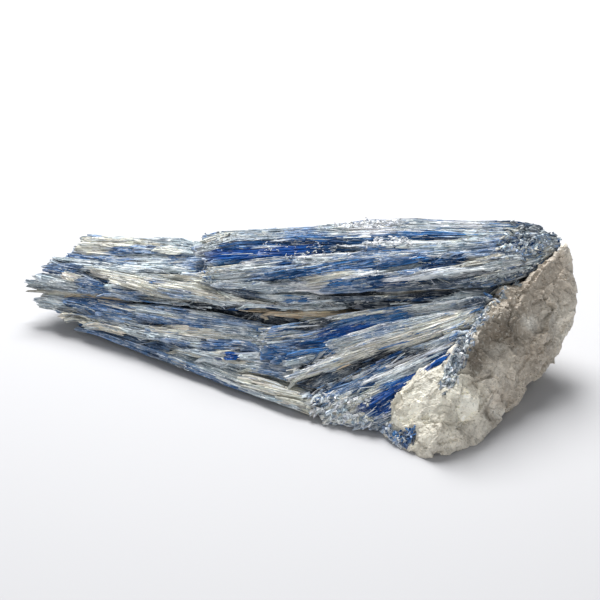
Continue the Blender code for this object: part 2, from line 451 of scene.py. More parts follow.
class Surface:
    """The smoothed surface of one solid of the frame, to draw on as the camera sees it."""

    def __init__(self, node, voxel, passes):
        self.body = smooth_body(node, voxel * MM, passes)
        self.tree = BVHTree.FromBMesh(self.body)
        self.gaps = []
        self.spots = []

    def beside(self, ray, is_tip):
        """The surface's nearest place to a sight line that passes it closely."""
        reach = DISTANCE
        for _ in range(4):
            place, normal, _, away = self.tree.find_nearest(camera.location + ray * reach)
            reach = (place - camera.location).dot(ray)
        normal = (normal + towards_camera).normalized()
        if away > BESIDE:
            return None, normal
        if is_tip:
            place = place.lerp(camera.location + ray * reach, min(1, JUTS_OUT / away))
        return place, normal

    def seen(self, points):
        """Where the camera sees points of its view on this surface, and the normals there."""
        path, normals = [], []
        for (u0, v0), (u1, v1) in zip(points, points[1:]):
            steps = max(2, round(math.hypot(u1 - u0, v1 - v0) / 5))
            for k in range(steps + (points[-1] == (u1, v1))):
                share = k / steps
                ray = sight(u0 + (u1 - u0) * share, v0 + (v1 - v0) * share)
                place, normal, _, _ = self.tree.ray_cast(camera.location, ray)
                if not place:
                    place, normal = self.beside(ray, not path)
                if place:
                    path.append(place)
                    normals.append(normal)
        return smoothed(path) if len(path) > 2 else [], normals

    def draw_gaps(self, *gaps, margin=0.7):
        """Clefts between blades: how wide and deep they are, and where they are seen."""
        self.gaps = []
        for width, deep, *points in gaps:
            path, normals = self.seen(points)
            for a, b, normal in zip(path, path[1:], normals):
                steps = math.ceil((b - a).length / (0.5 * MM))
                for k in range(steps):
                    self.gaps.append((a.lerp(b, k / steps), width * MM, normal * deep * MM))
        self.gap_tree = KDTree(len(self.gaps))
        for k, (place, _, _) in enumerate(self.gaps):
            self.gap_tree.insert(place, k)
        self.gap_tree.balance()
        self.open_gaps(self.body.verts, margin * MM)
        self.body.normal_update()
        self.tree = BVHTree.FromBMesh(self.body)

    def paint(self, *patches):
        """Patches of colour: the colour, its reach, and points of the camera's view."""
        for code, reach, *points in patches:
            path, _ = self.seen(points)
            self.spots += [(place, linear(code)[:3], reach * MM) for place in path]

    def painted(self, ground):
        """Each vertex's colour, blended from the patches near it and the ground colour."""
        places = np.array([vert.co for vert in self.body.verts])
        total = np.tile(linear(ground)[:3], (len(places), 1))
        weight = np.ones((len(places), 1))
        for place, colour, reach in self.spots:
            away = np.linalg.norm(places - np.array(place), axis=1, keepdims=True) / reach
            near = 2 * np.exp(-(away**2))
            total += near * np.array(colour)
            weight += near
        tint = np.ones((len(places), 4))
        tint[:, :3] = total / weight
        return tint

    def open_gaps(self, verts, margin, tint=None):
        """Sinks what lies in the gaps, and paints shade on it there."""
        if not self.gaps:
            return
        dark = linear(KYANITE["dark"][0])
        for k, vert in enumerate(verts):
            _, gap, distance = self.gap_tree.find(vert.co)
            _, width, sunk = self.gaps[gap]
            fall = 1 - (distance / (0.5 * width + margin)) ** 2
            if fall > 0:
                vert.co -= sunk * fall
                # Painted shadow: in a gap, a blade's tint turns towards the darkest shade.
                if tint:
                    shade = tint.data[k]
                    old = Vector(shade.color[:3])
                    shade.color = (*old.lerp(Vector(dark[:3]), min(1, fall * 1.5)), 0)

    def in_gap(self, place, margin):
        if not self.gaps:
            return False
        _, k, distance = self.gap_tree.find(place)
        return distance < self.gaps[k][1] / 2 + margin


class Sheaf(Surface):
    """Blades laid over one sheaf of the frame. Blades drawn in the view set their grain."""

    def __init__(self, node, run, mix, seed):
        super().__init__(node, 1.0, 2)
        self.run = Vector(run).normalized()
        self.mix = mix
        self.draw = Random(seed)
        self.numbers = np.random.default_rng(seed)
        self.blades = {kind: [] for kind in KINDS}
        self.laid = bmesh.new()
        self.guides = []

    def tones(self, names, spread=0.13):
        """Colours by name, all made lighter or darker by one blade's share."""
        light = math.exp(self.draw.gauss(0, spread))
        warm = np.array([1 + self.draw.gauss(0, 0.03), 1, 1])
        shades = [np.array(linear(KYANITE[name][0])[:3]) for name in names]
        return np.minimum([shade * light * warm for shade in shades], 1)

    def add(
        self,
        kind,
        path,
        normals,
        width,
        depth,
        colour,
        proud,
        sunk,
        roll,
        jag,
        fray,
        part=(0, 1, 0),
    ):
        """Adds a blade along a path of points, given with the surface's normals there."""
        points, ups = resampled(path, normals, KINDS[kind][0], *part)
        names = [colour] * len(points) if colour else self.colours_at(points)
        body = self.tones(names, SPREAD[kind])
        frayed = self.tones(["white" if self.draw.random() < 0.5 else "cream"])[0]
        whiteness = min(self.draw.uniform(0, 2 * fray), 1)
        self.blades[kind].append(
            {
                "path": points,
                "normals": ups,
                "length": np.linalg.norm(np.diff(points, axis=0), axis=1).sum(),
                "width": width * MM,
                "depth": depth * MM,
                "proud": proud * MM,
                "sunk": sunk * MM,
                "roll": math.radians(roll),
                "jag": jag * MM,
                "taper": (self.draw.uniform(0.3, 1.0), self.draw.uniform(0.2, 0.9)),
                "colour": body,
                "frayed": [KYANITE[name][1] for name in names],
                "tip_colour": body[0] + (frayed - body[0]) * whiteness,
            }
        )

    def draw_blades(self, *strokes):
        """Blades given by colour, width, and the points that the camera sees them at."""
        for colour, width, *points in strokes:
            path, normals = self.seen(points)
            if not path:
                continue
            tracks = max(1, round(width / GUIDE_SPACING))
            for a, b, normal in zip(path, path[1:], normals):
                way = (b - a).normalized()
                aside = way.cross(normal) * MM
                for k in range(tracks):
                    share = (k + 0.5) / tracks - 0.5
                    self.guides.append(((a + b) / 2 + aside * width * share, way, colour))
            normals = smoothed(normals, 4)
            uniform = self.draw.uniform
            proud = uniform(-0.3, 0.1)
            self.add(
                "plate" if width > 1.5 else "blade",
                path,
                normals,
                width=width,
                depth=0.6,
                colour=colour,
                proud=proud,
                sunk=-0.5,
                roll=self.draw.gauss(0, 4),
                jag=1.0,
                fray=0.2,
            )
            for _ in range(round(width * 1.6)):  # the finer blades that it splits into
                wide = uniform(0.3, 0.9)
                part = (uniform(0, 0.5), uniform(0.5, 1), uniform(-0.48, 0.48) * width * MM)
                self.add(
                    "needle",
                    path,
                    normals,
                    width=wide,
                    depth=0.4,
                    colour=colour,
                    proud=proud + uniform(0.1, 0.4),
                    sunk=-0.2,
                    roll=self.draw.gauss(0, 12),
                    jag=0.5,
                    fray=0.2,
                    part=part,
                )

    def settle(self, inset=INSET):
        """Readies the grain: the drawn blades', and out of sight, the sheaf's own run."""
        faces = list(self.body.faces)
        for face in faces[:: max(1, len(faces) // OWN_GUIDES)]:
            place = face.calc_center_median()
            if face.normal.dot(towards_camera) < 0.05:
                self.guides.append((place, self.run, None))
        self.field = KDTree(len(self.guides))
        for k, (place, _, _) in enumerate(self.guides):
            self.field.insert(place, k)
        self.field.balance()
        for vert in self.body.verts:
            vert.co -= vert.normal * inset

    def grain(self, place):
        """The way that blades run at a place, from tip to root."""
        total = Vector()
        for _, k, distance in self.field.find_n(place, 6):
            total += self.guides[k][1] / (distance + 1.5 * MM) ** 2
        return total.normalized()

    def walk(self, place, normal, way, length, margin):
        """Points over the surface from place, along the grain or against it."""
        points, normals = [], []
        first = normal
        while length > 0:
            ahead = self.grain(place) * way
            ahead = (ahead - normal * ahead.dot(normal)).normalized()
            step = min(WALK, length + 0.1 * MM)
            found, found_normal, _, distance = self.tree.find_nearest(place + ahead * step)
            off = distance > 0.6 * step or found_normal.dot(first) < 0.2
            if self.in_gap(found, margin):
                break
            if off:
                if way < 0:  # a broken end, which stands out a little
                    points.append(place + ahead * self.draw.uniform(0.2, 1.2) * MM)
                    normals.append(normal)
                break
            place, normal = found, found_normal
            points.append(place)
            normals.append(normal)
            length -= step
        return points, normals

    def colours_at(self, places):
        """One blade's colours at some places: of what is drawn near, or one of the sheaf's."""
        luck = self.draw.random()
        own = self.draw.choices(list(self.mix), list(self.mix.values()))[0]
        names = []
        for place in places:
            _, k, distance = self.field.find(place)
            near = self.guides[k][2]
            drawn = near and luck < DRAWN_SHARE * math.exp(-distance / DRAWN_REACH)
            names.append(near if drawn else own)
        return names

    def some_faces(self, count, more=2):
        """Faces drawn by their area, with more of those in sight."""
        faces = list(self.body.faces)
        weights = [
            face.calc_area() * (more if face.normal.dot(towards_camera) > 0 else 1)
            for face in faces
        ]
        return self.draw.choices(faces, weights, k=count)

    def cover(self, kind, count, width, length, proud, depth):
        """Lays blades all over the sheaf. Ranges are given as (least, most)."""
        uniform = self.draw.uniform
        for face in self.some_faces(count):
            start, normal, _, _ = self.tree.find_nearest(face.calc_center_median())
            wide = uniform(*width)
            margin = 0.35 * wide * MM
            if is_underside(start, normal) or self.in_gap(start, margin):
                continue
            if abs(normal.dot(self.grain(start))) > END_FACE:
                continue
            reach = uniform(*length) * MM
            split = uniform(0.2, 0.8)
            back, back_normals = self.walk(start, normal, -1, reach * split, margin)
            on, on_normals = self.walk(start, normal, 1, reach * (1 - split), margin)
            path = back[::-1] + [start] + on
            if len(path) < 3:
                continue
            normals = back_normals[::-1] + [normal] + on_normals
            self.add(
                kind,
                smoothed(path),
                smoothed(normals, 4),
                width=wide,
                depth=uniform(*depth),
                colour=None,
                proud=uniform(*proud),
                sunk=uniform(-1.4, -0.7),
                roll=self.draw.gauss(0, 10),
                jag=0.8,
                fray=0.3,
            )

    def lay_down(self):
        """Fixes the blades so far, for finer ones to lie on."""
        for kind, blades in self.blades.items():
            if blades:
                mesh = mesh_of_blades(blades, kind, self.numbers)
                # Blades in the gaps sink and get painted shadow.
                self.open_gaps(mesh.vertices, 0.5 * MM, mesh.attributes["tint"])
                self.laid.from_mesh(mesh)
        self.blades = {kind: [] for kind in KINDS}
        both = self.laid.copy()
        body = bpy.data.meshes.new("body")
        self.body.to_mesh(body)
        both.from_mesh(body)
        self.top = BVHTree.FromBMesh(both)
        both.free()

    def fray(self, kind, count, width, length, lift, colours=()):
        """Loose splinters on top of the blades, of their own colours or of those given."""
        uniform = self.draw.uniform
        for face in self.some_faces(count, 3):
            start = face.calc_center_median()
            normal = face.normal.copy()
            if is_underside(start, normal) or self.in_gap(start, 0):
                continue
            near = self.colours_at([start])[0]
            if colours and near in GLASSY and self.draw.random() < GLASSY[near]:
                continue
            way = self.grain(start)
            if abs(normal.dot(way)) > END_FACE:
                continue
            way = (way - normal * way.dot(normal)).normalized()
            way = (way + way.cross(normal) * self.draw.gauss(0, 0.04)).normalized()
            reach = uniform(*length) * MM
            path = []
            for k in range(3):
                over = start + way * (reach * (k / 2 - 0.5)) + normal * 4 * MM
                place, _, _, _ = self.top.ray_cast(over, -normal, 8 * MM)
                if place:
                    path.append(place)
            if len(path) < 3:
                continue
            wide = uniform(*width)
            self.add(
                kind,
                path,
                [normal] * len(path),
                width=wide,
                depth=min(wide, FLAT) * uniform(0.6, 1),
                colour=self.draw.choice(colours) if colours else None,
                proud=uniform(*lift),
                sunk=uniform(-0.1, 0.05),
                roll=self.draw.gauss(0, 15),
                jag=0.25,
                fray=0.1,
            )

    def rubble(self, *heaps):
        """Broken bits of blade, strewn along points of the camera's view.

        Each heap is given by its count, its spread in pixels, the least and most length of
        a bit, their colours, and the points.
        """
        uniform = self.draw.uniform
        for count, spread, size, colours, *points in heaps:
            for _ in range(count):
                k = self.draw.randrange(len(points) - 1)
                share = uniform(0, 1)
                (u0, v0), (u1, v1) = points[k], points[k + 1]
                u = u0 + (u1 - u0) * share + self.draw.gauss(0, spread)
                v = v0 + (v1 - v0) * share + self.draw.gauss(0, spread)
                place, normal, _, _ = self.top.ray_cast(camera.location, sight(u, v))
                if not place:
                    continue
                loose = Vector([self.draw.gauss(0, 0.6) for _ in range(3)])
                way = (self.grain(place) + loose).normalized()
                reach = uniform(*size) * MM
                self.add(
                    "splinter",
                    [place - way * reach / 2, place + way * reach / 2],
                    [normal + loose * 0.5] * 2,
                    width=uniform(0.3, 0.8) * reach / MM,
                    depth=uniform(0.2, 0.5) * reach / MM,
                    colour=self.draw.choice(colours),
                    proud=uniform(-0.2, 0.5),
                    sunk=uniform(-0.4, 0.3),
                    roll=self.draw.gauss(0, 40),
                    jag=0.3 * reach / MM,
                    fray=0.3,
                )

    def stub_ends(self, count, width, depth, length):
        """Broken blades that stand out of the sheaf's end."""
        uniform = self.draw.uniform
        for face in self.some_faces(count * 12):  # most of them don't look out along the grain
            start = face.calc_center_median()
            way = self.grain(start)
            if count <= 0:
                break
            if face.normal.dot(way) > -0.5:
                continue
            count -= 1
            side = way.cross(Vector((0, 0, 1))).normalized()
            up = side.cross(way)
            reach = uniform(*length) * MM
            path = [start + way * (reach * (k - 1)) for k in range(4)]
            self.add(
                "blade",
                path,
                [up] * 4,
                width=uniform(*width),
                depth=uniform(*depth),
                colour=None,
                proud=0,
                sunk=0,
                roll=self.draw.gauss(0, 15),
                jag=0.8,
                fray=0.5,
            )

    def clothe(self, plates, blades, stubs, loose):
        """Covers the sheaf with plates, blades, broken ends, and what has frayed from them.

        Plates have a count, widths and lengths, and blades a count and lengths. Stubs have a
        count, widths, depths and lengths. loose counts needles, splinters and pale splinters.
        """
        self.settle()
        self.cover("plate", *plates, proud=(-0.9, -0.2), depth=(0.5, 0.8))
        count, length = blades
        self.cover("blade", count, (0.6, 1.6), length, proud=(-0.7, 0.1), depth=(0.4, 0.7))
        self.stub_ends(*stubs)
        self.lay_down()
        needles, splinters, pale_splinters = loose
        self.fray("needle", needles, (0.25, 0.6), (5, 16), (-0.1, 0.1))
        self.fray("splinter", splinters, (0.2, 0.4), (1.5, 6), (-0.05, 0.15))
        self.fray("splinter", pale_splinters, (0.12, 0.28), (1.5, 6), (0.0, 0.2), PALE_SPLINTERS)

    def skin(self):
        """The sheaf's body, in the colours and with the grain of the blades over it, painted
        darker than them as shade.
        """
        choices = list(self.mix)
        tones = [self.tones([name or self.draw.choice(choices)])[0] for _, _, name in self.guides]
        count = len(self.body.verts)
        tint = np.zeros((count, 4), np.float32)
        grain = np.zeros((count, 3), np.float32)
        for k, vert in enumerate(self.body.verts):
            vert.co.z = max(vert.co.z, FLOOR_CLEARANCE)
            _, near, _ = self.field.find(vert.co)
            place, way, _ = self.guides[near]
            apart = (vert.co - place) / MM
            # painted shade between the blades
            tint[k, :3] = Vector(tones[near]) * SKIN_PAINTED_SHADE
            tint[k, 3] = 0.5
            # each guide has its own stretch of the pattern
            grain[k] = (way.dot(apart) + near * 31, way.cross(vert.normal).dot(apart), near)
        mesh = bpy.data.meshes.new("skin")
        for face in self.body.faces:
            face.smooth = True
        self.body.to_mesh(mesh)
        write_layer(mesh, "tint", "FLOAT_COLOR", tint)
        write_layer(mesh, "grain", "FLOAT_VECTOR", grain)
        return mesh

    def finish(self, name, slot, node=None):
        """Joins the blades in one piece. With a node, the body joins it and replaces the node."""
        self.lay_down()
        if node:
            self.laid.from_mesh(self.skin())
        mesh = bpy.data.meshes.new(name)
        self.laid.to_mesh(mesh)
        self.laid.free()
        self.body.free()
        mesh.materials.clear()
        mesh.materials.append(kyanite)
        piece = new_object(name, mesh)
        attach(piece, "root")
        if node:
            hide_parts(node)


base = Sheaf(
    "base_sheaf",
    run=(1, 0.1, 0),
    mix={"steel": 4, "pale": 2, "grey": 3, "blue": 2, "slate": 2},
    seed=11,
)
base.draw_blades(
    ("denim", 1.8, (76, 329), (110, 340), (140, 351)),
    ("steel", 1.2, (84, 329), (112, 338), (142, 348)),
    ("denim", 2.0, (130, 348), (165, 361), (200, 374)),
    ("steel", 1.6, (136, 345), (166, 356), (196, 367)),
    ("slate", 1.4, (150, 355), (180, 366), (210, 377)),
    ("steel", 1.8, (160, 356), (190, 367), (222, 379)),
    ("denim", 2.4, (196, 372), (228, 384), (262, 397)),
    ("pale", 0.8, (170, 357), (200, 368), (232, 380)),
    ("white", 0.7, (200, 370), (232, 382), (262, 393)),
    ("grey", 1.8, (216, 376), (240, 384), (262, 392)),
    ("cream", 2.6, (240, 377), (262, 381), (284, 386)),
    ("cream", 3.2, (258, 386), (278, 390), (298, 394)),
    ("cream", 2.6, (236, 381), (256, 386), (278, 393)),
    ("pale", 2.0, (240, 388), (268, 398), (298, 406)),
    ("cream", 2.0, (276, 398), (290, 401), (304, 405)),
    ("white", 0.8, (262, 384), (280, 389), (300, 393)),
)
base.clothe(
    plates=(60, (1.5, 3.5), (20, 60)),
    blades=(160, (10, 40)),
    stubs=(40, (0.8, 2.5), (0.6, 1.3), (0.5, 2.5)),
    loose=(700, 500, 700),
)
base.finish("base_blades", "grey_blue_kyanite", "base_sheaf")


# ---------------------------------------------------------------------------------------
# Lower sheaf. The long grey-blue bundle under the main cleft, with cream worn blades and a
# knot where a small deep-blue crystal crosses the grain.

lower = Sheaf(
    "lower_sheaf",
    run=(0.95, 0.3, 0.04),
    mix={"steel": 4, "pale": 4, "grey": 3, "blue": 1, "cream": 3, "slate": 1},
    seed=23,
)
lower.draw_gaps(
    (0.8, 1.5, (60, 309), (84, 312), (92, 314)),
    (0.7, 1.2, (70, 316), (86, 319), (122, 325)),
    (1.0, 1.8, (143, 322), (152, 323), (163, 325)),
    (0.8, 1.5, (152, 342), (175, 346), (199, 348)),
    (0.8, 1.5, (140, 347), (160, 353), (178, 358)),
    (0.8, 1.5, (256, 381), (270, 385), (283, 387)),
    (1.0, 2.0, (243, 352), (249, 352), (254, 350)),
    (0.8, 1.5, (236, 347), (238, 350), (240, 353)),
    (0.8, 1.2, (222, 372), (230, 375), (240, 379)),
    (0.7, 1.2, (262, 325), (290, 326), (312, 329)),
    (1.4, 2.6, (140, 300), (178, 304), (200, 307), (237, 313), (275, 322)),
    (1.4, 2.4, (275, 323), (312, 325), (336, 319)),
)
lower.draw_blades(
    ("pale", 1.8, (34, 299), (48, 300), (64, 303)),
    ("cream", 2.4, (60, 316), (72, 319), (88, 322)),
    ("cream", 2.2, (66, 324), (82, 328), (102, 332)),
    ("pale", 1.8, (74, 328), (88, 332), (104, 337)),
    ("pale", 2.4, (36, 301), (50, 303), (66, 306)),
    ("grey", 2.0, (38, 305), (55, 308), (76, 313)),
    ("denim", 2.8, (64, 302), (84, 305), (104, 309)),
    ("denim", 2.8, (84, 307), (104, 310), (122, 314)),
    ("steel", 3.0, (96, 312), (112, 314), (130, 318)),
    ("steel", 1.6, (56, 311), (75, 315), (96, 319)),
    ("grey", 1.6, (86, 319), (105, 322), (126, 326)),
    ("cream", 2.8, (66, 320), (80, 323), (98, 326)),
    ("cream", 2.8, (88, 326), (105, 329), (124, 332)),
    ("grey", 2.0, (76, 328), (95, 332), (116, 336)),
    ("grey", 2.0, (120, 327), (135, 330), (150, 333)),
    # Painted shade in the main cleft.
    ("painted_cleft_shade", 1.6, (137, 300), (178, 304), (200, 307), (237, 313), (275, 322)),
    ("painted_cleft_shade", 1.4, (275, 323), (312, 325), (336, 319)),
    ("steel", 2.4, (150, 308), (172, 311), (195, 313)),
    ("pale", 1.4, (138, 308), (155, 311), (178, 316)),
    ("cream", 1.4, (158, 312), (168, 315), (178, 317)),
    ("steel", 2.4, (138, 315), (155, 318), (176, 321)),
    ("denim", 2.0, (146, 321), (170, 323), (196, 325)),
    ("denim", 1.6, (190, 325), (200, 326), (212, 328)),
    ("pale", 1.8, (190, 311), (206, 314), (224, 319)),
    ("steel", 2.0, (196, 316), (216, 319), (240, 323)),
    ("steel", 1.8, (228, 322), (250, 325), (268, 327)),
    ("cream", 4.0, (150, 328), (180, 330), (208, 333)),
    ("cream", 2.6, (180, 333), (206, 334), (232, 336)),
    ("grey", 1.8, (160, 335), (180, 338), (200, 340)),
    ("pale", 2.8, (147, 335), (153, 336), (160, 337)),
    ("steel", 2.2, (160, 340), (172, 342), (190, 345)),
    ("haze", 3.0, (216, 328), (238, 330), (260, 333)),
    ("grey", 2.6, (222, 335), (245, 337), (268, 337)),
    ("steel", 1.6, (262, 329), (290, 331), (312, 331)),
    ("grey", 1.8, (262, 334), (282, 336), (302, 336)),
    ("denim", 2.4, (200, 345), (216, 346), (232, 346)),
    ("steel", 3.4, (224, 345), (240, 345), (258, 347)),
    ("grey", 2.2, (252, 341), (275, 343), (292, 343)),
    ("cream", 1.0, (220, 352), (228, 350), (238, 351)),
    ("vivid", 3.6, (226, 356), (232, 356), (240, 356)),
    ("pale", 2.4, (238, 357), (244, 357), (250, 355)),
    ("cream", 1.2, (222, 360), (232, 363), (248, 362)),
    ("pale", 2.4, (170, 350), (190, 353), (212, 358)),
    ("cream", 1.6, (168, 353), (190, 356), (215, 363)),
    ("steel", 2.6, (138, 350), (158, 355), (184, 362)),
    ("pale", 2.6, (196, 362), (214, 366), (232, 370)),
    ("pale", 2.4, (222, 367), (240, 368), (258, 369)),
    ("steel", 1.8, (250, 370), (268, 372), (284, 374)),
    ("cream", 3.4, (238, 375), (262, 379), (290, 384)),
    ("white", 0.7, (196, 364), (215, 369), (240, 379)),
    ("slate", 1.6, (298, 393), (315, 383), (336, 371)),
    # Painted shade in the fan's parting.
    ("painted_cleft_shade", 1.4, (306, 384), (320, 377), (334, 370)),
)
lower.clothe(
    plates=(190, (1.6, 4.0), (20, 70)),
    blades=(400, (10, 40)),
    stubs=(220, (1.2, 3.4), (0.6, 1.4), (0.3, 2.0)),
    loose=(1300, 1500, 2400),
)
lower.finish("lower_blades", "grey_blue_kyanite", "lower_sheaf")


# ---------------------------------------------------------------------------------------
# Wedged blade. One broad blade, caught flat between two sheaves and stained tan by iron.

wedge = Sheaf(
    "wedged_blade",
    run=(0.95, 0.32, 0.1),
    mix={"tan": 5, "cream": 1},
    seed=5,
)
wedge.draw_blades(
    ("tan", 3.0, (262, 318), (290, 317), (318, 315)),
    ("tan", 2.6, (300, 314), (322, 313), (342, 312)),
    ("cream", 1.4, (300, 320), (318, 319), (334, 317)),
)
wedge.settle()
wedge.cover("blade", 60, (0.8, 2.2), (12, 45), (-0.6, -0.1), (0.4, 0.7))
wedge.lay_down()
wedge.fray("splinter", 120, (0.2, 0.5), (2, 7), (0.0, 0.2))
wedge.finish("tan_blade", "tan_kyanite", "wedged_blade")


# ---------------------------------------------------------------------------------------
# Middle sheaf. The bundle that reaches furthest, with cream and pale worn tops, and steps
# of broken tips. Its back part lies under the upper sheaf, darkened there with painted shade.

middle = Sheaf(
    "middle_sheaf",
    run=(0.95, 0.3, 0.09),
    mix={"pale": 4, "grey": 3, "cream": 3, "steel": 3, "blue": 1, "slate": 1},
    seed=37,
)
middle.draw_gaps(
    (0.9, 1.5, (38, 288), (55, 292), (70, 296)),
    (0.9, 1.5, (76, 296), (95, 300), (119, 305)),
    (0.9, 1.2, (42, 263), (52, 261), (66, 262)),
    (1.0, 1.5, (80, 271), (94, 275), (108, 284)),
    (0.7, 1.0, (120, 288), (130, 289), (140, 289)),
    (0.9, 1.5, (168, 272), (174, 272), (180, 273)),
    (0.9, 1.5, (168, 280), (176, 280), (183, 279)),
    (0.8, 1.2, (100, 248), (106, 247), (114, 247)),
    (0.8, 1.2, (180, 257), (186, 255), (192, 254)),
    (0.8, 1.5, (240, 296), (258, 298), (284, 304)),
    (1.0, 2.0, (290, 306), (315, 306), (352, 303)),
    (1.2, 2.0, (336, 293), (380, 292), (420, 291)),
    (1.2, 2.0, (380, 299), (420, 298), (450, 294)),
    (1.4, 2.6, (140, 297), (178, 301), (200, 304), (237, 310), (275, 319)),
    (1.2, 2.0, (285, 290), (300, 292), (318, 292)),
)
middle.draw_blades(
    ("steel", 1.6, (89, 235), (100, 236), (112, 238)),
    ("grey", 2.4, (112, 238), (135, 236), (165, 238)),
    ("pale", 3.0, (150, 240), (178, 240), (206, 240)),
    # Painted shade in the main cleft.
    ("painted_cleft_shade", 1.4, (140, 297), (178, 301), (200, 304), (237, 310), (275, 319)),
    ("pale", 1.6, (26, 281), (40, 283), (60, 285)),
    ("cream", 4.4, (81, 243), (104, 242), (128, 242)),
    ("cream", 3.0, (80, 239), (104, 239), (128, 239)),
    ("cream", 4.4, (72, 248), (90, 248), (108, 249)),
    ("cream", 1.4, (125, 242), (148, 245), (170, 246)),
    ("denim", 2.4, (112, 249), (122, 250), (134, 251)),
    ("steel", 4.4, (133, 248), (146, 249), (160, 250)),
    ("cream", 3.6, (154, 249), (166, 250), (180, 252)),
    ("pale", 3.0, (164, 246), (180, 247), (196, 248)),
    ("denim", 2.4, (69, 255), (88, 258), (108, 259)),
    ("steel", 2.4, (98, 258), (115, 259), (132, 259)),
    ("pale", 2.6, (128, 258), (150, 258), (176, 258)),
    ("denim", 2.6, (168, 258), (174, 258), (181, 258)),
    ("pale", 3.6, (52, 258), (72, 262), (96, 263)),
    ("slate", 1.6, (92, 263), (100, 264), (112, 266)),
    ("steel", 3.0, (41, 265), (58, 265), (80, 268)),
    ("denim", 2.4, (43, 270), (58, 270), (80, 273)),
    ("denim", 2.0, (48, 268), (60, 268), (74, 270)),
    ("pale", 4.2, (34, 275), (48, 278), (66, 282)),
    ("cream", 3.6, (62, 275), (70, 277), (80, 279)),
    ("grey", 4.0, (28, 284), (48, 285), (74, 288)),
    ("denim", 4.0, (76, 281), (90, 284), (106, 288)),
    ("slate", 2.0, (82, 274), (94, 278), (106, 284)),
    ("pale", 3.4, (96, 265), (120, 268), (148, 270)),
    ("cream", 4.0, (92, 272), (125, 277), (158, 284)),
    ("cream", 4.0, (110, 279), (140, 286), (172, 294)),
    ("pale", 2.6, (104, 286), (124, 288), (142, 292)),
    ("pale", 3.2, (140, 268), (165, 270), (190, 270)),
    ("cream", 2.6, (150, 276), (180, 279), (212, 281)),
    ("denim", 1.4, (146, 281), (154, 283), (162, 284)),
    ("grey", 2.0, (136, 275), (152, 276), (172, 278)),
    ("denim", 1.6, (112, 289), (126, 291), (140, 293)),
    ("steel", 2.2, (78, 289), (88, 291), (98, 295)),
    ("pale", 1.8, (42, 288), (60, 290), (80, 292)),
    ("cream", 1.6, (28, 291), (60, 296), (100, 303)),
    ("tan", 1.6, (62, 300), (98, 305), (134, 311)),
    ("steel", 2.0, (98, 297), (118, 300), (136, 302)),
    ("cream", 2.0, (160, 285), (185, 288), (208, 290)),
    ("white", 1.4, (178, 289), (186, 291), (194, 292)),
    ("cream", 3.0, (192, 291), (208, 295), (226, 300)),
    ("cream", 1.6, (218, 292), (230, 297), (244, 301)),
    ("steel", 2.4, (158, 290), (174, 293), (192, 295)),
    ("pale", 2.4, (184, 296), (204, 299), (224, 303)),
    ("cream", 1.6, (140, 291), (165, 297), (196, 303)),
    ("pale", 1.2, (142, 296), (175, 302), (212, 307)),
    ("white", 0.9, (222, 301), (245, 304), (268, 306)),
    ("cream", 1.2, (232, 300), (255, 302), (278, 306)),
    ("deep", 1.6, (224, 307), (248, 309), (276, 309)),
    ("pale", 2.0, (238, 311), (262, 314), (288, 313)),
    ("slate", 1.8, (216, 288), (236, 292), (256, 296)),
    ("steel", 2.4, (210, 282), (228, 284), (248, 286)),
    ("steel", 2.8, (182, 262), (194, 263), (208, 262)),
    ("denim", 1.8, (186, 269), (196, 270), (207, 271)),
    ("pale", 1.8, (264, 296), (290, 297), (318, 295)),
    ("blue", 2.2, (286, 298), (297, 299), (308, 299)),
    ("pale", 1.4, (284, 303), (305, 304), (334, 301)),
    ("grey", 1.8, (300, 309), (322, 310), (345, 309)),
    # Painted shade where this sheaf lies under the upper one.
    ("painted_cleft_shade", 2.6, (318, 295), (350, 295), (380, 294)),
    ("slate", 2.0, (330, 299), (366, 299), (400, 297)),
    ("painted_cleft_shade", 2.6, (350, 304), (390, 305), (430, 302)),
    ("painted_cleft_shade", 1.6, (400, 296), (425, 294), (450, 291)),
    ("deep", 1.6, (390, 301), (415, 301), (440, 298)),
    ("cream", 0.9, (376, 296), (396, 295), (414, 292)),
    ("cream", 0.7, (400, 292), (422, 289), (446, 287)),
    ("pale", 0.6, (390, 304), (410, 304), (432, 303)),
    ("pale", 2.4, (430, 301), (444, 300), (460, 298)),
)
middle.clothe(
    plates=(190, (1.6, 4.0), (20, 70)),
    blades=(400, (10, 40)),
    stubs=(240, (1.2, 3.4), (0.6, 1.4), (0.3, 2.0)),
    loose=(1300, 1500, 2400),
)
middle.finish("middle_blades", "grey_blue_kyanite", "middle_sheaf")


# ---------------------------------------------------------------------------------------
# Upper sheaf. The clearest blue blades, with a broad grey plate on top, bright frayed
# ridges, and rubbly grey ends over the quartz. Some white along its top and on one ridge
# is painted highlight.

upper = Sheaf(
    "upper_sheaf",
    run=(0.9, 0.42, 0.1),
    mix={"blue": 3, "steel": 5, "pale": 4, "deep": 1, "white": 1, "grey": 2},
    seed=41,
)
upper.draw_gaps(
    (0.8, 1.2, (284, 243), (298, 243), (312, 243)),
    (0.8, 1.2, (332, 243), (346, 243), (361, 243)),
    (0.8, 1.2, (336, 250), (348, 250), (361, 250)),
    (1.0, 1.8, (380, 269), (420, 262), (462, 256)),
    (1.0, 1.8, (376, 274), (395, 270), (410, 267)),
    (1.0, 1.8, (430, 268), (455, 262), (482, 257)),
    (0.8, 1.5, (262, 281), (290, 280), (316, 278)),
    (0.9, 1.5, (210, 265), (224, 264), (238, 262)),
    (0.9, 1.5, (412, 283), (450, 279), (486, 272)),
    (1.2, 2.0, (508, 229), (513, 228), (519, 227)),
    (0.9, 1.5, (530, 258), (540, 254), (549, 250)),
    (0.9, 1.2, (495, 246), (503, 243), (512, 241)),
)
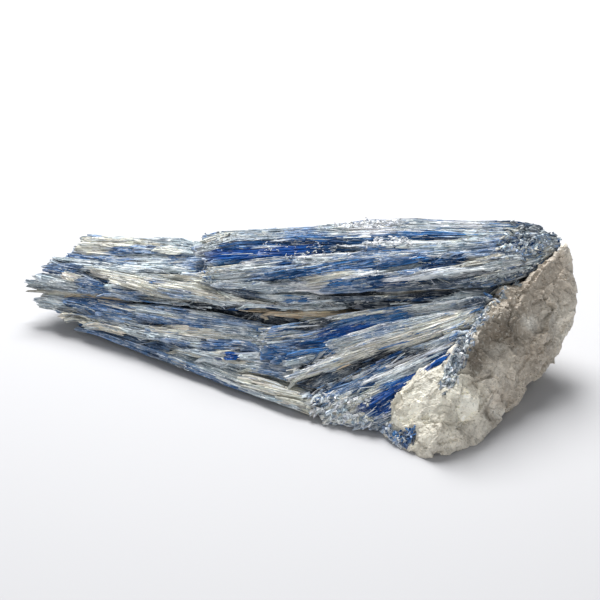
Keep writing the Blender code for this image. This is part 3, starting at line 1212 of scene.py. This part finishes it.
upper.draw_blades(
    ("cream", 3.0, (206, 241), (218, 237), (234, 233)),
    ("grey", 3.0, (205, 247), (216, 244), (228, 240)),
    ("haze", 6.0, (230, 236), (260, 235), (290, 234)),
    ("steel", 5.5, (284, 234), (304, 232), (326, 231)),
    ("blue", 3.0, (286, 239), (304, 237), (322, 236)),
    ("pale", 3.5, (318, 229), (330, 228), (346, 228)),
    # Painted highlight on the lit top.
    ("white", 3.5, (336, 227), (370, 225), (404, 225)),
    ("pale", 3.0, (396, 226), (426, 226), (458, 227)),
    # Painted highlight on the lit top.
    ("white", 2.4, (430, 224), (456, 225), (480, 225)),
    ("deep", 3.6, (220, 246), (254, 244), (296, 243)),
    ("deep", 2.4, (290, 242), (306, 242), (322, 242)),
    ("steel", 1.4, (238, 247), (262, 247), (286, 246)),
    ("white", 0.6, (262, 247), (270, 247), (278, 247)),
    ("white", 0.6, (281, 245), (294, 244), (308, 244)),
    ("white", 0.6, (271, 242), (278, 241), (287, 241)),
    ("vivid", 5.5, (207, 256), (240, 254), (276, 252)),
    ("vivid", 4.4, (258, 252), (288, 251), (318, 250)),
    ("deep", 3.0, (305, 250), (325, 249), (345, 248)),
    ("blue", 2.4, (211, 262), (232, 261), (256, 258)),
    ("white", 1.3, (236, 263), (260, 260), (290, 257)),
    ("cream", 3.6, (207, 270), (220, 268), (240, 265)),
    ("pale", 4.0, (208, 274), (232, 272), (256, 269)),
    ("grey", 3.0, (236, 268), (256, 266), (276, 264)),
    ("steel", 2.4, (256, 262), (276, 260), (298, 259)),
    ("deep", 2.2, (278, 263), (285, 262), (293, 261)),
    ("steel", 2.8, (250, 274), (274, 270), (300, 266)),
    ("white", 1.0, (298, 258), (316, 256), (336, 254)),
    ("white", 0.9, (332, 255), (348, 254), (364, 252)),
    ("pale", 2.2, (296, 262), (316, 262), (336, 259)),
    ("blue", 3.4, (260, 279), (292, 274), (326, 269)),
    ("deep", 1.8, (276, 277), (296, 274), (316, 271)),
    ("blue", 4.0, (318, 268), (342, 264), (370, 259)),
    ("steel", 3.0, (330, 258), (350, 257), (372, 255)),
    ("deep", 2.0, (316, 243), (328, 242), (340, 242)),
    ("slate", 1.6, (330, 247), (346, 247), (361, 247)),
    ("white", 0.5, (336, 246), (348, 246), (360, 246)),
    ("blue", 2.2, (352, 239), (384, 238), (420, 237)),
    ("blue", 2.4, (396, 234), (426, 233), (456, 234)),
    ("deep", 1.6, (420, 237), (440, 236), (462, 235)),
    ("white", 0.8, (360, 236), (370, 235), (384, 235)),
    ("white", 0.8, (370, 232), (396, 232), (424, 232)),
    ("white", 2.2, (363, 243), (400, 242), (446, 241)),
    ("pale", 2.8, (376, 246), (420, 245), (462, 243)),
    ("steel", 4.6, (362, 255), (398, 252), (432, 251)),
    ("blue", 2.4, (366, 250), (384, 249), (404, 248)),
    ("pale", 3.0, (388, 255), (402, 254), (418, 252)),
    ("deep", 3.0, (410, 257), (420, 255), (432, 253)),
    ("haze", 4.6, (428, 252), (450, 250), (472, 247)),
    ("steel", 2.4, (444, 256), (464, 252), (486, 250)),
    ("blue", 2.0, (378, 266), (402, 263), (430, 258)),
    ("steel", 2.6, (380, 260), (404, 258), (428, 256)),
    ("pale", 3.4, (464, 233), (474, 233), (486, 232)),
    ("pale", 4.4, (462, 240), (482, 240), (504, 237)),
    ("steel", 2.6, (486, 238), (496, 237), (508, 238)),
    ("steel", 2.6, (476, 245), (494, 243), (514, 239)),
    ("steel", 2.2, (484, 251), (504, 248), (522, 245)),
    ("pale", 1.2, (380, 272), (402, 268), (424, 264)),
    ("deep", 1.8, (420, 265), (440, 262), (462, 258)),
    ("cream", 1.6, (304, 280), (326, 277), (350, 273)),
    ("cream", 1.8, (302, 284), (320, 282), (342, 279)),
    ("blue", 3.0, (328, 285), (342, 283), (358, 280)),
    ("steel", 3.0, (350, 285), (362, 284), (376, 282)),
    ("deep", 4.4, (367, 283), (376, 281), (388, 280)),
    ("white", 0.7, (338, 279), (350, 277), (362, 276)),
    ("white", 0.8, (366, 278), (380, 275), (396, 273)),
    ("steel", 2.4, (386, 275), (402, 273), (420, 270)),
    # Painted highlights where a ridge catches the light.
    ("white", 3.0, (414, 277), (440, 271), (466, 266)),
    ("white", 1.2, (384, 281), (400, 279), (420, 276)),
    ("cream", 2.4, (460, 266), (480, 261), (500, 256)),
    ("pale", 5.0, (246, 288), (280, 286), (306, 286)),
    ("white", 4.0, (288, 286), (306, 286), (324, 286)),
    ("steel", 2.0, (320, 290), (340, 289), (362, 288)),
    ("slate", 2.4, (384, 287), (420, 284), (460, 280)),
    ("slate", 2.4, (430, 287), (460, 284), (492, 278)),
    ("pale", 1.8, (412, 279), (446, 276), (480, 270)),
    ("grey", 2.4, (456, 272), (488, 268), (522, 261)),
    ("pale", 1.8, (500, 259), (512, 257), (526, 256)),
    ("slate", 1.2, (440, 281), (480, 275), (520, 266)),
    ("white", 0.7, (452, 279), (484, 273), (512, 266)),
    ("slate", 0.7, (466, 263), (500, 258), (544, 253)),
    ("slate", 1.6, (424, 283), (452, 281), (484, 276)),
    ("deep", 1.4, (386, 285), (410, 283), (440, 281)),
    ("cream", 0.9, (476, 277), (502, 271), (528, 263)),
    ("pale", 1.2, (486, 265), (512, 260), (538, 256)),
    ("grey", 2.0, (470, 281), (500, 275), (532, 267)),
    ("slate", 0.9, (474, 284), (504, 277), (534, 268)),
    ("steel", 3.4, (516, 254), (532, 251), (546, 248)),
    ("cream", 1.0, (524, 259), (536, 255), (549, 251)),
    ("cream", 2.4, (516, 231), (521, 231), (527, 232)),
    ("deep", 3.6, (516, 243), (522, 243), (530, 241)),
    ("deep", 3.0, (518, 235), (524, 236), (532, 236)),
    ("slate", 3.0, (522, 226), (532, 227), (546, 228)),
    ("grey", 3.0, (532, 236), (544, 236), (556, 238)),
)
upper.clothe(
    plates=(170, (1.6, 4.0), (15, 60)),
    blades=(360, (10, 40)),
    stubs=(200, (0.8, 3.0), (0.6, 1.4), (0.5, 3.0)),
    loose=(1200, 1500, 2800),
)
upper.rubble(
    (
        220,
        5,
        (0.7, 2.4),
        ("haze", "grey", "steel", "slate", "pale"),
        (508, 232),
        (530, 238),
        (554, 242),
    ),
    (160, 4, (0.7, 2.2), ("haze", "grey", "steel", "cream"), (498, 247), (524, 250), (548, 248)),
    (90, 2.5, (0.6, 1.8), ("grey", "haze", "slate", "cream"), (484, 284), (510, 276), (538, 265)),
    (80, 3, (0.5, 1.5), ("haze", "grey", "pale", "cream"), (209, 243), (220, 239), (236, 236)),
    (70, 3.5, (0.6, 1.6), ("pale", "cream", "steel", "white"), (206, 266), (210, 274), (214, 284)),
    (110, 2.5, (0.4, 1.1), ("white",), (262, 247), (300, 243), (350, 246)),
    (60, 2.5, (0.4, 1.2), ("white",), (284, 257), (320, 254), (350, 252)),
    # White bits along the lit top, painted as glints.
    (160, 2, (0.6, 2.0), ("white",), (336, 225), (370, 223), (404, 224)),
    (120, 2, (0.6, 2.0), ("white",), (364, 244), (390, 242), (410, 241)),
)
upper.finish("upper_blades", "deep_blue_kyanite", "upper_sheaf")


# ---------------------------------------------------------------------------------------
# Front fan. Blades that grew across the others, from under the upper sheaf forward: deep
# blue at its back edge, and a broad cream plate along its front.

front = Sheaf(
    "front_fan",
    run=(0.85, 0.5, 0.2),
    mix={"blue": 3, "pale": 3, "cream": 2, "steel": 3, "white": 1},
    seed=53,
)
front.draw_gaps(
    (1.2, 2.0, (282, 368), (305, 364), (328, 354)),
    (1.0, 1.5, (345, 344), (348, 345), (352, 345)),
    (0.8, 1.2, (300, 348), (310, 347), (320, 345)),
)
front.draw_blades(
    ("blue", 3.2, (332, 327), (362, 318), (398, 311)),
    ("vivid", 3.2, (320, 337), (344, 330), (372, 323)),
    ("blue", 3.0, (364, 324), (386, 319), (410, 314)),
    ("deep", 1.6, (318, 340), (330, 337), (344, 334)),
    ("cream", 1.2, (340, 319), (366, 314), (396, 311)),
    # Painted glints.
    ("white", 0.9, (350, 335), (356, 333), (361, 331)),
    ("white", 0.9, (368, 330), (374, 328), (381, 326)),
    ("deep", 2.4, (295, 347), (308, 345), (322, 342)),
    ("blue", 3.6, (262, 356), (296, 351), (334, 346)),
    ("deep", 2.8, (248, 362), (270, 358), (294, 353)),
    ("blue", 2.6, (252, 367), (274, 364), (296, 359)),
    ("pale", 2.2, (284, 365), (300, 361), (318, 356)),
    ("pale", 3.2, (328, 346), (352, 340), (380, 333)),
    ("steel", 2.8, (362, 337), (386, 331), (412, 325)),
    ("pale", 2.8, (396, 326), (420, 320), (448, 313)),
    ("steel", 1.4, (330, 342), (346, 338), (364, 334)),
    ("cream", 4.4, (346, 352), (382, 341), (420, 329)),
    ("cream", 4.0, (400, 335), (430, 326), (460, 314)),
    ("white", 1.6, (356, 346), (384, 338), (412, 330)),
    ("cream", 3.4, (324, 366), (350, 358), (380, 348)),
    # Painted shade under the upper sheaf.
    ("painted_cleft_shade", 1.2, (296, 324), (318, 325), (338, 321)),
    ("tan", 1.0, (316, 371), (334, 366), (352, 360)),
    # Painted shade in the parting.
    ("painted_cleft_shade", 1.4, (322, 374), (350, 363), (386, 350)),
    ("pale", 3.4, (300, 377), (320, 371), (342, 362)),
    ("cream", 3.4, (288, 390), (308, 381), (330, 371)),
    ("white", 2.0, (438, 315), (446, 314), (456, 312)),
    ("grey", 2.0, (404, 311), (430, 307), (456, 302)),
    ("pale", 1.0, (458, 301), (474, 295), (490, 289)),
    ("slate", 1.4, (452, 305), (470, 300), (488, 294)),
    ("blue", 1.2, (484, 292), (494, 289), (506, 284)),
    # Painted shadow in the parting.
    ("dark", 0.9, (300, 369), (314, 364), (328, 355)),
    ("white", 0.6, (306, 370), (318, 366), (332, 357)),
    ("white", 0.5, (352, 334), (365, 331), (378, 327)),
    ("white", 0.5, (335, 345), (350, 340), (366, 336)),
)
front.clothe(
    plates=(80, (1.4, 3.4), (15, 50)),
    blades=(220, (10, 40)),
    stubs=(80, (0.8, 2.5), (0.6, 1.3), (0.5, 2.5)),
    loose=(1000, 1000, 1600),
)
front.finish("front_blades", "deep_blue_kyanite", "front_fan")


# ---------------------------------------------------------------------------------------
# Corner fan. The steep blades at the front corner, blue against the quartz, which end in
# a rubbly grey foot.

corner = Sheaf(
    "corner_fan",
    run=(0.68, 0.65, 0.33),
    mix={"blue": 3, "pale": 3, "steel": 3, "white": 1, "grey": 2, "slate": 1},
    seed=61,
)
corner.draw_gaps(
    (1.4, 2.2, (297, 399), (340, 374), (395, 347)),
    (1.0, 1.5, (388, 349), (420, 336), (446, 325)),
    (1.2, 1.5, (398, 361), (410, 355), (420, 350)),
    (0.9, 1.5, (420, 369), (430, 365), (440, 360)),
    (0.8, 1.2, (352, 396), (362, 393), (374, 384)),
    (0.8, 1.2, (306, 411), (314, 409), (322, 404)),
)
corner.draw_blades(
    # Painted shade in the cleft above the fan.
    ("painted_cleft_shade", 2.0, (302, 399), (322, 388), (344, 377)),
    ("painted_cleft_shade", 1.4, (330, 388), (350, 378), (372, 367)),
    ("steel", 0.8, (306, 399), (330, 387), (356, 375)),
    ("slate", 1.4, (312, 398), (336, 386), (362, 374)),
    ("pale", 2.8, (398, 348), (410, 343), (424, 338)),
    # Painted shade in the cleft.
    ("painted_cleft_shade", 2.0, (350, 373), (376, 361), (400, 350)),
    ("deep", 3.0, (370, 367), (386, 359), (402, 352)),
    ("painted_cleft_shade", 1.2, (392, 364), (408, 357), (424, 350)),
    ("deep", 1.6, (324, 395), (346, 384), (370, 373)),
    ("blue", 2.4, (340, 387), (362, 376), (386, 365)),
    ("deep", 1.8, (362, 374), (380, 366), (398, 357)),
    ("white", 0.7, (388, 366), (404, 360), (420, 353)),
    ("pale", 1.0, (350, 379), (372, 370), (396, 360)),
    ("white", 0.8, (362, 384), (384, 375), (410, 364)),
    ("pale", 2.8, (380, 383), (408, 371), (440, 357)),
    ("steel", 2.4, (328, 396), (346, 388), (366, 378)),
    ("blue", 3.0, (306, 406), (324, 397), (342, 388)),
    ("white", 0.8, (318, 398), (328, 394), (340, 388)),
    ("deep", 2.2, (350, 397), (362, 391), (374, 385)),
    ("pale", 2.6, (342, 400), (356, 394), (372, 390)),
    ("cream", 2.4, (358, 400), (368, 394), (380, 389)),
    ("blue", 2.4, (376, 391), (390, 385), (406, 378)),
    ("vivid", 3.6, (361, 410), (384, 396), (406, 383)),
    ("vivid", 3.4, (390, 392), (406, 382), (424, 372)),
    ("blue", 3.4, (420, 373), (434, 366), (450, 358)),
    ("deep", 2.8, (428, 360), (442, 353), (458, 346)),
    ("vivid", 2.4, (432, 368), (440, 364), (449, 360)),
    ("white", 1.6, (424, 356), (438, 350), (456, 342)),
    ("blue", 2.0, (446, 341), (456, 337), (468, 332)),
    ("pale", 2.4, (436, 345), (456, 335), (480, 323)),
    ("white", 1.4, (440, 340), (456, 331), (472, 324)),
    ("cream", 2.4, (440, 330), (446, 327), (452, 322)),
    ("pale", 2.2, (454, 352), (460, 348), (466, 342)),
    ("steel", 2.6, (450, 366), (458, 360), (466, 352)),
    ("pale", 2.6, (442, 378), (452, 372), (462, 364)),
    ("steel", 2.8, (438, 388), (446, 383), (456, 376)),
    ("steel", 3.0, (312, 414), (322, 408), (332, 402)),
    ("cream", 3.0, (332, 410), (338, 404), (346, 399)),
    ("grey", 3.0, (322, 422), (332, 416), (342, 410)),
    ("cream", 2.6, (336, 424), (346, 418), (354, 412)),
    ("steel", 3.6, (351, 421), (360, 418), (369, 415)),
    ("white", 0.5, (352, 382), (372, 370), (392, 358)),
    ("white", 0.5, (338, 388), (352, 380), (366, 372)),
    # Painted shade in a cleft.
    ("painted_cleft_shade", 0.8, (378, 366), (396, 357), (414, 349)),
)
corner.clothe(
    plates=(60, (1.4, 3.2), (10, 40)),
    blades=(200, (8, 30)),
    stubs=(120, (0.8, 2.5), (0.6, 1.3), (0.5, 2.5)),
    loose=(900, 900, 1500),
)
corner.rubble(
    (240, 4, (1.0, 3.6), ("pale", "cream", "white", "haze"), (306, 404), (330, 416), (366, 422)),
    (120, 3.5, (0.8, 2.4), ("pale", "white", "cream", "grey"), (322, 398), (346, 402), (368, 398)),
)
corner.finish("corner_blades", "deep_blue_kyanite", "corner_fan")


# ---------------------------------------------------------------------------------------
# Vein quartz. Massive and milky, cream in front and smoky to the right, broken along
# curved fractures into facets of every size, with hollows where crystals fell out. Its right
# side and hollows are darkened with painted shade, and some facets carry painted highlights.

# Facets of the break: their size, and how far they tilt the surface, in millimetres.
FRACTURES = ((9.0, 2.0), (4.0, 1.2), (1.7, 0.5))
LUMPS = (8.0, 1.2)  # size and height of the rounded lumps under the facets
QUARTZ_INSET = 0.4 * MM  # makes room for the lumps
FACET_CONTRAST = 0.3  # how much lighter or darker a facet is than the next, with its tilt
QUARTZ_SEED = 12  # without one, the noise vectors differ from run to run
QUARTZ = {
    "cream": "DFDBCC",
    "beige": "DAD4C8",
    # partly the quartz's own smoky grey, partly painted shade on its right side
    "smoky": "B5AA9C",
    # painted shade, in the hollows
    "brown": "64594C",
    # painted highlight, on facets
    "bright": "F6F4EC",
}
# Patterns in the quartz: their period in millimetres, and their detail.
QUARTZ_PATTERNS = {"grains": (1.0, 3.0), "clouds": (7, 4.0)}
# What they add: the pattern, where in it the colour starts and is strongest, and the colour.
QUARTZ_STAINS = (
    ("clouds", 0.45, 0.7, "A89E90"),
    ("grains", 0.55, 0.72, "EDEBE2"),
    ("grains", 0.44, 0.3, "6F6A5C"),
)
STAIN = 0.5  # how much of the ground such a colour hides at its strongest

noise.seed_set(QUARTZ_SEED)


def fractured(place):
    """The lift and the shade of the break at a place: a tilted facet in each cell."""
    lift = noise.noise(place / (LUMPS[0] * MM)) * LUMPS[1] * MM - QUARTZ_INSET
    shade = 1
    for size, tilt in FRACTURES:
        bent = place / (size * MM) + noise.noise_vector(place / (size * 1.3 * MM)) * 0.5
        cell = noise.voronoi(bent)[1][0]
        slope = noise.noise_vector(cell * 7.3)  # far enough apart to differ from cell to cell
        lift += ((bent - cell).dot(slope) + 0.5 * slope.x) * tilt * MM
        shade *= 1 + FACET_CONTRAST * slope.y
    return lift, shade


def vein_quartz():
    """Milky to smoky vein quartz: translucent, greasy on its breaks."""
    material = bpy.data.materials.new("broken_vein_quartz")
    material.use_nodes = True
    tree = material.node_tree
    tree.nodes.clear()
    tint = add_node(tree, "ShaderNodeAttribute", {"attribute_name": "tint"})
    places = add_node(tree, "ShaderNodeTexCoord")

    patterns = {}
    for name, (period, detail) in QUARTZ_PATTERNS.items():
        settings = {"Scale": 1 / (period * MM), "Detail": detail, "Roughness": 0.6}
        spots = add_node(tree, "ShaderNodeTexNoise", settings, Vector=places.outputs["Object"])
        patterns[name] = spots.outputs["Fac"]
    colour = tint.outputs["Color"]
    for pattern, low, high, stain in QUARTZ_STAINS:
        settings = {"From Min": low, "From Max": high, "To Max": STAIN}
        amount = add_node(tree, "ShaderNodeMapRange", settings, Value=patterns[pattern]).outputs[0]
        settings = {"data_type": "RGBA", 7: linear(stain)}
        colour = add_node(tree, "ShaderNodeMix", settings, i0=amount, i6=colour).outputs[2]
    bump = add_node(
        tree,
        "ShaderNodeBump",
        {"Strength": 0.8, "Distance": 0.4 * MM},
        Height=patterns["grains"],
    )
    shader = add_node(
        tree,
        "ShaderNodeBsdfPrincipled",
        {
            "IOR": 1.55,
            "Roughness": 0.5,
            "Specular IOR Level": 0.15,
            "Subsurface Weight": 0.25,
            "Subsurface Radius": (1.0, 0.9, 0.8),
            "Subsurface Scale": 1.2 * MM,
        },
        Base_Color=colour,
        Normal=bump.outputs[0],
    )
    add_node(tree, "ShaderNodeOutputMaterial", Surface=shader.outputs[0])
    return material


rock = Surface("quartz_matrix", 0.55, 3)
breaks = [fractured(vert.co) for vert in rock.body.verts]
for vert, (lift, _) in zip(rock.body.verts, breaks):
    vert.co += vert.normal * lift
rock.body.normal_update()
rock.tree = BVHTree.FromBMesh(rock.body)
# Hollows, and with less than no depth, lumps.
rock.draw_gaps(
    (9.0, 1.8, (484, 352), (496, 346), (506, 340)),
    (7.0, 1.6, (500, 338), (512, 336), (522, 334)),
    (6.0, 1.5, (474, 366), (480, 360), (486, 352)),
    (7.0, 1.4, (506, 300), (514, 292), (524, 280)),
    (5.0, 1.6, (490, 412), (496, 411), (502, 412)),
    (6.0, -1.3, (566, 292), (572, 300), (576, 314)),
    (6.0, -1.0, (562, 248), (567, 254), (570, 262)),
    (7.0, -1.4, (540, 300), (548, 310), (552, 322)),
    (8.0, -1.4, (452, 396), (470, 400), (486, 400)),
)
# Cracks between facets.
rock.draw_gaps(
    (0.9, 1.1, (545, 262), (538, 272), (530, 284)),
    (0.9, 1.1, (530, 284), (522, 294), (516, 304)),
    (0.8, 0.8, (548, 297), (541, 300), (533, 304)),
    (0.9, 1.0, (516, 304), (512, 314), (508, 326)),
    (0.8, 0.7, (425, 423), (438, 422), (452, 424)),
    (0.8, 0.7, (480, 406), (468, 418), (456, 430)),
    (1.0, 1.2, (488, 408), (487, 414), (491, 420)),
    (0.8, 0.8, (516, 378), (522, 366), (532, 354)),
    (0.8, 0.8, (532, 354), (544, 346), (556, 336)),
    (0.8, 0.9, (560, 300), (563, 312), (562, 326)),
    (0.8, 0.8, (470, 384), (480, 378), (492, 376)),
    (0.8, 0.8, (440, 444), (448, 440), (458, 440)),
    margin=0.3,
)
rock.paint(
    (QUARTZ["cream"], 7, (396, 402), (420, 392), (440, 400), (466, 396)),
    (QUARTZ["cream"], 7, (410, 424), (430, 418), (456, 416)),
    # Painted highlights on facets.
    (QUARTZ["bright"], 4, (424, 388), (430, 398), (424, 410)),
    (QUARTZ["bright"], 3, (456, 406), (462, 400), (470, 404)),
    (QUARTZ["bright"], 2, (526, 318), (530, 324), (534, 328)),
    (QUARTZ["bright"], 2, (488, 352), (496, 350), (502, 348)),
    (QUARTZ["bright"], 2, (492, 412), (498, 410), (502, 413)),
    (QUARTZ["beige"], 6, (440, 448), (462, 444), (482, 434)),
    (QUARTZ["beige"], 6, (490, 380), (506, 376), (520, 372)),
    # Smoky grey over the right side, partly painted shade.
    (QUARTZ["smoky"], 7, (500, 300), (520, 290), (540, 276)),
    (QUARTZ["smoky"], 7, (500, 396), (520, 370), (540, 350)),
    (QUARTZ["smoky"], 6, (540, 262), (554, 262), (560, 280)),
    # Painted shade in the hollows and a crack.
    (QUARTZ["brown"], 6, (486, 344), (500, 336), (512, 328)),
    (QUARTZ["brown"], 4, (472, 372), (476, 362), (482, 356)),
    (QUARTZ["brown"], 2, (486, 408), (487, 416), (494, 422)),
)
for vert in rock.body.verts:
    vert.co.z = max(vert.co.z, FLOOR_CLEARANCE)
quartz_mesh = bpy.data.meshes.new("quartz")
rock.body.to_mesh(quartz_mesh)
quartz_tint = rock.painted(QUARTZ["beige"])
quartz_tint[:, :3] *= np.array([shade for _, shade in breaks])[:, None]
write_layer(quartz_mesh, "tint", "FLOAT_COLOR", quartz_tint)
quartz_mesh.materials.append(vein_quartz())
quartz = new_object("quartz", quartz_mesh)
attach(quartz, "root")
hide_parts("quartz_matrix")


# ---------------------------------------------------------------------------------------
# Crystals on the quartz. Short kyanite blades that grew over its front edge and up the side
# of the corner fan, crushed to pale fibres, with one dark blue tuft at the foot.

tufts = Sheaf(
    "quartz_matrix",
    run=(0.68, 0.65, 0.33),
    mix={"pale": 3, "steel": 2, "white": 1},
    seed=71,
)
tufts.body, tufts.tree = rock.body, rock.tree
tufts.draw_blades(
    ("vivid", 2.4, (400, 384), (420, 373), (440, 362)),
    ("deep", 1.8, (412, 377), (430, 367), (446, 359)),
    ("vivid", 2.0, (426, 370), (438, 363), (456, 352)),
    ("blue", 2.2, (436, 358), (450, 348), (464, 336)),
    ("white", 0.8, (420, 371), (434, 363), (450, 354)),
    ("deep", 2.0, (440, 357), (452, 350), (462, 342)),
    ("pale", 2.2, (418, 367), (440, 354), (462, 338)),
    ("white", 1.2, (440, 352), (452, 344), (466, 334)),
    ("pale", 1.8, (466, 334), (474, 326), (484, 316)),
    ("steel", 2.2, (454, 366), (460, 352), (467, 338)),
    ("pale", 2.4, (446, 374), (454, 358), (460, 344)),
    ("steel", 2.4, (441, 390), (448, 378), (456, 366)),
    ("pale", 2.0, (450, 382), (457, 368), (463, 352)),
    ("pale", 1.6, (470, 306), (486, 297), (500, 289)),
    ("grey", 1.6, (478, 300), (496, 290), (516, 281)),
    ("deep", 1.6, (401, 446), (403, 438), (406, 430)),
    ("deep", 1.6, (407, 446), (408, 438), (410, 428)),
    ("slate", 1.6, (413, 443), (413, 436), (415, 428)),
    ("blue", 1.4, (395, 441), (399, 434), (404, 428)),
    ("pale", 2.6, (386, 432), (378, 422), (368, 412)),
    ("steel", 2.6, (400, 445), (392, 436), (384, 428)),
    ("pale", 2.4, (396, 434), (390, 426), (382, 418)),
    ("white", 1.6, (392, 424), (384, 417), (376, 412)),
)
tufts.settle(0)
tufts.lay_down()
tufts.rubble(
    (70, 2.5, (0.8, 2.4), ("grey", "haze", "pale"), (476, 300), (496, 290), (520, 280)),
    (300, 4, (0.7, 2.4), ("pale", "haze", "white", "slate"), (466, 336), (458, 358), (446, 386)),
    (160, 3, (0.7, 2.2), ("pale", "haze", "steel", "white"), (484, 314), (472, 326), (462, 342)),
    (60, 2, (0.5, 1.6), ("pale", "haze", "steel", "cream"), (506, 292), (496, 300), (484, 312)),
    (120, 3, (0.8, 3.0), ("pale", "steel", "white", "blue"), (370, 414), (384, 426), (400, 443)),
    (50, 3, (0.8, 2.2), ("deep", "slate", "blue"), (404, 442), (408, 436), (410, 430)),
)
tufts.finish("quartz_tufts", "deep_blue_kyanite")
